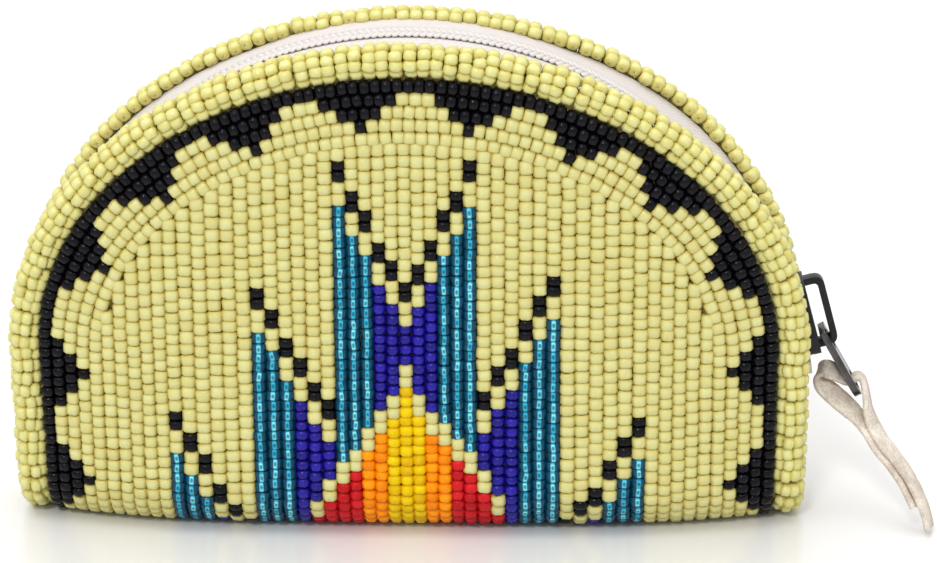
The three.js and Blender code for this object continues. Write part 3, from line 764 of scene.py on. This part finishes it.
def wrapEdge(name, back):
    path = edgePath()
    length = lengthAlong(path[0])
    count = int(length[-1] / edgeWrap["pitch"])
    places, axes, normals = [], [], []
    for k in range(count):
        at = (k + 0.5) * length[-1] / count + dice.normal(0, edgeWrap["spacing"])
        spot, face, out = (
            np.array([np.interp(at, length, table[:, i]) for i in range(3)]) for table in path)
        drift = dice.normal(0, edgeWrap["wander"])
        for angle in edgeWrap["angles"]:
            turn = math.radians(angle + drift + dice.normal(0, edgeWrap["slip"]))
            normal = math.cos(turn) * face + math.sin(turn) * out
            reach = edgeWrap["radius"] + dice.normal(0, edgeWrap["rise"])
            slide = dice.normal(0, edgeWrap["slide"]) * np.cross(face, out)
            places.append(spot + reach * normal + slide)
            normals.append(normal)
            axes.append(math.cos(turn) * out - math.sin(turn) * face)
    flip = np.array([1, -1 if back else 1, 1])
    places, axes, normals = (np.array(rows) * flip for rows in (places, axes, normals))
    places[:, 2] = np.maximum(places[:, 2], beads["table"])
    stretch = np.full(len(places), edgeWrap["stretch"])
    return stringBeads(name, "rim", places, axes, normals, stretch, np.ones(len(places)))


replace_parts(wrapEdge("edgeWrapsFront", False), "edge_roll_front")
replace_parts(wrapEdge("edgeWrapsBack", True), "edge_roll_back")
print("edges wrapped")


# Cloth: the backing under the beads, and the zipper's woven tape

cloth = {
    "grain": 700.0,
    "weaveShare": 0.25,
    "cloudShare": 0.5,
    "shades": (0.1, 0.9),
    "rough": 0.85,
    "shine": 0.15,
    "bump": (0.35, 0.2),
    "smooth": 40,
}


def clothFinish(name, look):
    finish = newFinish(name)
    x, y, z = finish.parts(finish.place())
    along = x.angleFrom(z - zipper["centre"] * mm) * (zipper["radius"] * mm)
    rib = (along * look["weave"]).sine()
    pick = (y * look["weave"]).sine()
    cloud = finish.noise(cloth["grain"])
    thread = rib * pick * cloth["weaveShare"] + 0.5 + (cloud - 0.5) * cloth["cloudShare"]
    return finish.dress({
        "Base Color": thread.ramp(*cloth["shades"]).mixed(look["deep"], look["light"]),
        "Roughness": cloth["rough"],
        "Specular IOR Level": cloth["shine"],
        "Normal": finish.bump(thread, *cloth["bump"]),
    })


def gridSheet(name, columns, rows, placeOf):
    bpy.ops.object.select_all(action="DESELECT")
    bpy.ops.mesh.primitive_grid_add(x_subdivisions=columns, y_subdivisions=rows, size=1)
    piece = bpy.context.object
    piece.name = name
    for vertex in piece.data.vertices:
        spot = placeOf(round((vertex.co.x + 0.5) * columns), round((vertex.co.y + 0.5) * rows))
        vertex.co = [v * mm for v in spot]
    return piece


def thicken(piece, thickness, material):
    wall = piece.modifiers.new("wall", "SOLIDIFY")
    wall.thickness = thickness * mm
    wall.offset = 0
    bpy.ops.object.modifier_apply(modifier="wall")
    smoothShade(cloth["smooth"])
    piece.data.materials.append(material)


backing = {
    "light": (0.80, 0.64, 0.24),
    "deep": (0.66, 0.52, 0.17),
    "weave": 5200.0,
    "thickness": 1.2,
    "columns": 72,
    "faceRows": 26,
    "foldRows": 9,
    "merge": 0.02,  # the fold comes to a point at each side
}


def backingLine(x):  # front edge, down the face, round the fold, to the middle of the underside
    fold = pouch["foldRadius"]
    top = pouch["sideTop"] + pouch["sheetRise"] * math.sqrt(max(0.0, 1 - (x / pouch["sheetHalf"]) ** 2))
    line = [(x, -depthAt(x, z), z) for z in np.linspace(top, pouch["foldCentre"], backing["faceRows"])]
    flat = -line[-1][1] - fold
    for turn in np.linspace(0, quarter, backing["foldRows"])[1:]:
        line.append((x, -(flat + fold * math.cos(turn)), pouch["foldCentre"] - fold * math.sin(turn)))
    return line + [(x, 0.0, line[-1][2])]


def layBacking():
    turns = np.linspace(-quarter, quarter, backing["columns"] + 1)
    lines = [backingLine(pouch["sheetHalf"] * math.sin(turn)) for turn in turns]
    lines = [line + [(x, -y, z) for x, y, z in reversed(line[:-1])] for line in lines]
    rows = len(lines[0]) - 1
    piece = gridSheet("backingSheet", backing["columns"], rows, lambda column, row: lines[column][row])
    turnOutwards(piece, backing["merge"])
    thicken(piece, backing["thickness"], clothFinish("backingCloth", backing))
    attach(piece, "purse")
    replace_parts(piece, "base_sheet")


layBacking()

tape = {
    "light": (0.68, 0.635, 0.61),
    "deep": (0.55, 0.505, 0.485),
    "weave": 6300.0,
    "thickness": 0.5,
    "slit": 1.8,  # between the halves, under the coil
    "lowSlit": 0.02,  # and below the zipper's ends, where they are sewn together
    "flat": 3.3,
    "slopeRoom": 0.3,  # least room for the slope out to the sheet
    "sewnInside": 0.9,  # edge of the tape inside the middle of the sheet
    "sewnUnder": 0.1,  # and at most this far below the flat strip
    "cord": 0.16,  # woven cord along the coil
    "cordWidth": 0.35,
    "sag": 0.15,
    "lowest": 0.97,  # share of the fold that the feet reach down
    "columns": 15,
    "footStations": 16,
    "archStations": 121,
}


def rollDistance(angle):  # from the arc's centre out to the middle of the edge roll
    across, up = math.sin(angle), math.cos(angle)
    width, rise = pouch["sheetHalf"], pouch["sheetRise"]
    foot = zipper["centre"] - pouch["sideTop"]
    a = (across / width) ** 2 + (up / rise) ** 2
    b = 2 * up * foot / rise ** 2
    c = (foot / rise) ** 2 - 1
    reach = (-b + math.sqrt(b * b - 4 * a * c)) / (2 * a)
    return reach if zipper["centre"] + reach * up >= pouch["sideTop"] else width / abs(across)


def tapeStations():  # outer place, flat place, outward way, slit; from the left foot round to the right one
    rollX, centre = pouch["sheetHalf"], pouch["foldCentre"]
    endX = zipper["radius"] * math.sin(zipper["stopEnd"])
    lowest = centre - (pouch["foldRadius"] - tape["sewnInside"]) * tape["lowest"]
    foot = []
    for z in np.linspace(lowest, zipper["foot"], tape["footStations"])[:-1]:
        share = np.clip((z - centre) / (zipper["foot"] - centre), 0, 1)
        foot.append((rollX, rollX + (endX - rollX) * share * share * (3 - 2 * share), z))
    rows = [((-x, z), (-flat, z), (-1, 0), tape["lowSlit"]) for x, flat, z in foot]
    for angle in np.linspace(-zipper["stopEnd"], zipper["stopEnd"], tape["archStations"]):
        way = (math.sin(angle), math.cos(angle))
        reaches = (max(rollDistance(angle), zipper["radius"] - tape["sewnUnder"]), zipper["radius"])
        spots = [(way[0] * reach, zipper["centre"] + way[1] * reach) for reach in reaches]
        rows.append((*spots, way, tape["slit"]))
    return rows + [((x, z), (flat, z), (1, 0), tape["lowSlit"]) for x, flat, z in reversed(foot)]


def layTape(name, side, node, material):
    stations = tapeStations()

    def placeOf(column, row):
        outer, flat, way, slit = stations[column]
        reach = depthAt(*outer) - tape["sewnInside"]
        level = min(tape["flat"], reach - tape["slopeRoom"])
        y = slit / 2 + (reach - slit / 2) * row / tape["columns"]
        slope = max(0.0, (y - level) / (reach - level))
        cord = tape["cord"] * math.exp(-((y - level) / tape["cordWidth"]) ** 2)
        lift = cord - tape["sag"] * math.sin(math.pi * slope)
        x, z = (flat[i] + (outer[i] - flat[i]) * slope + way[i] * lift for i in (0, 1))
        return x, side * y, z

    piece = gridSheet(name, len(stations) - 1, tape["columns"], placeOf)
    turnOutwards(piece)
    thicken(piece, tape["thickness"], material)
    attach(piece, "purse")
    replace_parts(piece, node)


tapeCloth = clothFinish("tapeCloth", tape)
layTape("tapeFront", -1, "zipper_tape_front", tapeCloth)
layTape("tapeBack", 1, "zipper_tape_back", tapeCloth)
print("cloth laid")


# Zipper coil: one nylon turn, copied along both halves

coil = {
    "light": (0.66, 0.62, 0.60),
    "deep": (0.58, 0.545, 0.525),
    "grain": 1200.0,
    "rough": 0.42,
    "shine": 0.35,
    "width": 1.0,
    "length": 2.7,
    "height": 0.6,
    "ease": 0.26,
    "pitch": 1.08,
    "lift": 0.6,
    "middle": 1.25,
    "lean": 26,
    "stagger": 0.25,  # of the pitch, so that the halves mesh
}


def nylonFinish(name, look):
    finish = newFinish(name)
    return finish.dress({
        "Base Color": finish.noise(look["grain"]).mixed(look["deep"], look["light"]),
        "Roughness": look["rough"],
        "Specular IOR Level": look["shine"],
    })


def coilTurn():
    turn = addBlock((coil["width"], coil["length"], coil["height"]))
    bpy.ops.object.mode_set(mode="EDIT")
    bpy.ops.mesh.select_all(action="SELECT")
    bpy.ops.mesh.bevel(offset=coil["ease"], segments=1)
    bpy.ops.object.mode_set(mode="OBJECT")
    return takeShape(turn)


def layCoil(name, side, node, material):
    points, faces = coilTurn()
    radius = zipper["radius"] + coil["lift"]
    count = int(2 * zipper["coilEnd"] * radius / coil["pitch"])
    lean = math.radians(coil["lean"]) * side
    along = points[:, :1] * math.cos(lean) - points[:, 1:2] * math.sin(lean)
    across = points[:, :1] * math.sin(lean) + points[:, 1:2] * math.cos(lean)
    rows = []
    for k in range(count):
        angle = zipper["coilEnd"] * (2 * (k + 0.5 + side * coil["stagger"]) / count - 1)
        ahead = np.array([math.cos(angle), 0, -math.sin(angle)])
        out = np.array([math.sin(angle), 0, math.cos(angle)])
        spot = np.array([0, side * coil["middle"], zipper["centre"]]) + out * radius
        rows.append(spot + along * ahead + across * np.array([0, 1, 0]) + points[:, 2:] * out)
    piece = newMesh(name, np.concatenate(rows), copiedFaces(faces, len(points), count), material)
    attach(piece, "purse")
    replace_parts(piece, node)


coilNylon = nylonFinish("coilNylon", coil)
layCoil("coilFront", -1, "zipper_coil_front", coilNylon)
layCoil("coilBack", 1, "zipper_coil_back", coilNylon)
for stop in ("top_stop_front", "top_stop_back", "bottom_stop"):
    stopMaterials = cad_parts[stop].data.materials
    stopMaterials.clear()
    stopMaterials.append(coilNylon)
print("coil laid")


# Slider and pull tab: the solids with their edges eased

slider = {
    "light": (0.012, 0.012, 0.013), "deep": (0.006, 0.006, 0.007),
    "metal": 0.0, "rough": 0.25, "shine": 0.25, "grain": 700.0, "ease": 0.22,
}
tab = {
    "light": (0.11, 0.106, 0.103), "deep": (0.06, 0.058, 0.056),
    "metal": 1.0, "rough": 0.16, "shine": 0.5, "grain": 500.0, "ease": 0.2,
}
metalWork = {
    "shades": (0.3, 0.7),
    "mottle": 0.12,
    "bump": (0.06, 0.1),
    "merge": 0.01,
    "flat": 1,  # degrees between triangles of one flat face
    "sharp": 35,  # degrees from which an edge is eased
    "segments": 2,
    "smooth": 40,
}


def metalFinish(name, look):
    finish = newFinish(name)
    cloud = finish.noise(look["grain"])
    return finish.dress({
        "Base Color": cloud.ramp(*metalWork["shades"]).mixed(look["deep"], look["light"]),
        "Metallic": look["metal"],
        "Roughness": look["rough"] + cloud * metalWork["mottle"],
        "Specular IOR Level": look["shine"],
        "Normal": finish.bump(cloud, *metalWork["bump"]),
    })


def easedCopy(name, node, body, look, material):
    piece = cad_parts[node].copy()
    piece.data = piece.data.copy()
    piece.name = name
    bpy.context.scene.collection.objects.link(piece)
    pickUp(piece)
    bpy.ops.object.mode_set(mode="EDIT")
    bpy.ops.mesh.select_all(action="SELECT")
    bpy.ops.mesh.remove_doubles(threshold=metalWork["merge"] * mm)
    bpy.ops.mesh.dissolve_limited(angle_limit=math.radians(metalWork["flat"]))
    bpy.ops.object.mode_set(mode="OBJECT")
    bevel = piece.modifiers.new("ease", "BEVEL")
    bevel.width = look["ease"] * mm
    bevel.segments = metalWork["segments"]
    bevel.limit_method = "ANGLE"
    bevel.angle_limit = math.radians(metalWork["sharp"])
    bpy.ops.object.modifier_apply(modifier="ease")
    smoothShade(metalWork["smooth"])
    piece.data.materials.clear()
    piece.data.materials.append(material)
    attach(piece, body)
    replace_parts(piece, node)


easedCopy("sliderBody", "slider", "slider", slider, metalFinish("sliderEnamel", slider))
easedCopy("pullTab", "pull_tab", "pull", tab, metalFinish("tabMetal", tab))
print("slider and tab eased")


# Thong: a flat suede strip, folded through the tab's eye

thong = {
    "light": (0.79, 0.73, 0.64),
    "deep": (0.47, 0.39, 0.32),
    "shades": (0.35, 0.8),
    "nap": (2600.0, 4.0),  # grain and detail
    "napShare": 0.5,
    "grain": 320.0,
    "cloudShare": 0.6,
    "rough": 0.92,
    "shine": 0.1,
    "bump": (0.5, 0.2),
    "width": 3.4,
    "widthSpread": 0.015,
    "thickness": 0.9,
    "corner": 0.24,
    "steps": 6,  # rings between two of the rows below
    "smooth": 50,
    "long": [  # place, way of its width, width
        (69.0, 0.2, 22.6, 0, 1, 0, 2.5),
        (69.8, 0.1, 22.2, 0, 1, 0, 2.6),
        (70.84, 0, 22.26, 0, 1, 0, 2.6),
        (71.8, 0, 23.05, 0, 1, 0, 2.7),
        (72.6, -0.1, 22.7, 0.1, 1, 0, 2.9),
        (73.1, -0.3, 21.3, 0.15, 1, 0.05, 3.2),
        (73.4, -0.8, 19.7, 0.2, 1, 0.1, 3.4),
        (73.7, -1.6, 17.7, 0.25, 1, 0.2, 3.5),
        (74.5, -2.7, 15.6, 0.3, 1, 0.3, 3.5),
        (76.0, -4.2, 13.3, 0.25, 1, 0.3, 3.5),
        (78.1, -5.8, 11.0, 0.2, 1, 0.25, 3.5),
        (80.0, -7.3, 8.6, 0.25, 1, 0.2, 3.4),
        (81.5, -8.6, 5.9, 0.3, 1, 0.15, 3.4),
        (82.6, -9.5, 3.3, 0.3, 1, 0.1, 3.3),
        (83.2, -10.0, 0.95, 0.3, 1, 0.1, 3.2),
    ],
    "short": [
        (69.4, 0.2, 22.4, 0, 1, 0.3, 2.5),
        (68.1, 0.5, 23.5, 0.5, 0.8, 0.7, 3.0),
        (66.7, 0.8, 23.9, 0.4, 0.8, 0.8, 3.3),
        (65.9, 0.9, 23.1, 0.4, 0.9, 0.6, 3.4),
        (66.1, 0.8, 21.9, 0.4, 0.9, 0.6, 3.5),
        (67.1, 0.4, 20.7, 0.5, 0.8, 0.7, 3.5),
        (68.7, -0.2, 19.4, 0.5, 0.7, 0.75, 3.5),
        (70.6, -1.0, 17.9, 0.4, 0.8, 0.6, 3.5),
        (72.2, -1.9, 16.5, 0.35, 1, 0.4, 3.5),
        (73.6, -3.0, 14.9, 0.3, 1, 0.3, 3.5),
        (75.1, -4.4, 12.7, 0.25, 1, 0.3, 3.5),
        (77.2, -6.0, 10.4, 0.2, 1, 0.25, 3.5),
        (79.0, -7.5, 8.0, 0.25, 1, 0.2, 3.4),
        (80.4, -8.7, 5.4, 0.3, 1, 0.15, 3.4),
        (80.9, -9.2, 4.2, 0.3, 1, 0.1, 3.3),
    ],
}


def suedeFinish(name, look):
    finish = newFinish(name)
    nap = finish.noise(*look["nap"])
    shade = nap * look["napShare"] + finish.noise(look["grain"]) * look["cloudShare"]
    return finish.dress({
        "Base Color": shade.ramp(*look["shades"]).mixed(look["deep"], look["light"]),
        "Roughness": look["rough"],
        "Specular IOR Level": look["shine"],
        "Normal": finish.bump(nap, *look["bump"]),
    })


def smoothRows(rows, steps):  # a smooth curve through all the rows
    rows = np.array(rows, float)
    padded = [2 * rows[0] - rows[1], *rows, 2 * rows[-1] - rows[-2]]
    out = []
    for a, b, c, d in zip(padded, padded[1:], padded[2:], padded[3:]):
        for t in np.arange(steps) / steps:
            bend = (2 * a - 5 * b + 4 * c - d) * t * t
            out.append(0.5 * (2 * b + (c - a) * t + bend + (3 * b - a - 3 * c + d) * t ** 3))
    return np.array(out + [rows[-1]])


def flatStrip(name, rows, material):
    rows = smoothRows(rows, thong["steps"])
    line = rows[:, :3]
    ahead = unit(np.gradient(line, axis=0))
    wide = unit(rows[:, 3:6] - ahead * np.sum(rows[:, 3:6] * ahead, axis=1, keepdims=True))
    thick = np.cross(ahead, wide)
    half = thong["thickness"] / 2
    ease = thong["corner"]
    rings = []
    for spot, w, t, width in zip(line, wide, thick, rows[:, 6]):
        reach = width / 2 * (1 + dice.normal(0, thong["widthSpread"]))
        flat = [(reach, half - ease), (reach - ease, half), (ease - reach, half), (-reach, half - ease)]
        around = flat + [(-a, -b) for a, b in flat]
        rings.append([spot + a * w + b * t for a, b in around])
    ring = len(rings[0])
    last = ring * (len(rings) - 1)
    faces = [list(range(ring)), [last + i for i in reversed(range(ring))]]
    for k in range(0, last, ring):
        for i in range(ring):
            j = (i + 1) % ring
            faces.append([k + j, k + i, k + ring + i, k + ring + j])
    piece = newMesh(name, np.array(rings).reshape(-1, 3), faces, material)
    turnOutwards(piece)
    smoothShade(thong["smooth"])
    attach(piece, "pull")
    return piece, line


suede = suedeFinish("thongSuede", thong)
thongLong, thongLine = flatStrip("thongLong", thong["long"], suede)
thongShort, _ = flatStrip("thongShort", thong["short"], suede)
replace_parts(thongLong, "leather_thong")
tuple(thongLine[0] * mm)
thong["width"] * mm
[tuple(spot * mm) for spot in thongLine]


# Floor and light

floorLook = {
    "colour": (0.75, 0.745, 0.74),
    "rough": 0.2,
    "mottle": 0.06,
    "grain": 3.0,
    "shine": 1.0,
    "size": 8,
}


def paleFloor(look):
    finish = newFinish("paleFloor")
    material = finish.dress({
        "Base Color": look["colour"],
        "Roughness": look["rough"] + finish.noise(look["grain"]) * look["mottle"],
        "Specular IOR Level": look["shine"],
    })
    bpy.ops.object.select_all(action="DESELECT")
    bpy.ops.mesh.primitive_plane_add(size=look["size"])
    floor = bpy.context.object
    floor.name = "floor"
    floor.data.materials.append(material)


studio = {
    "zenith": 1.3,
    "horizon": 0.55,
    "domeTop": 0.8,  # height from which the dome is as bright as its zenith
    "key": {"energy": 0.7, "turn": (12, 0, -60), "soft": 40},
    "spark": {"energy": 1.1, "turn": (48, 0, -14), "soft": 9},
}


def lightStudio(setup):
    world = bpy.data.worlds.new("studioDome")
    dome = Finish(world, "Background")
    height = dome.parts(dome.place("Generated"))[2]
    spread = (0.0, setup["domeTop"], setup["horizon"], setup["zenith"])
    dome.dress({"Color": (1, 1, 1), "Strength": dome.node("ShaderNodeMapRange", None, height, *spread)})
    bpy.context.scene.world = world
    for lamp in (setup["key"], setup["spark"]):
        bpy.ops.object.light_add(type="SUN", rotation=[math.radians(a) for a in lamp["turn"]])
        bpy.context.object.data.energy = lamp["energy"]
        bpy.context.object.data.angle = math.radians(lamp["soft"])


paleFloor(floorLook)
lightStudio(studio)
bpy.context.scene.view_settings.view_transform = "Standard"
print("floor and light set")
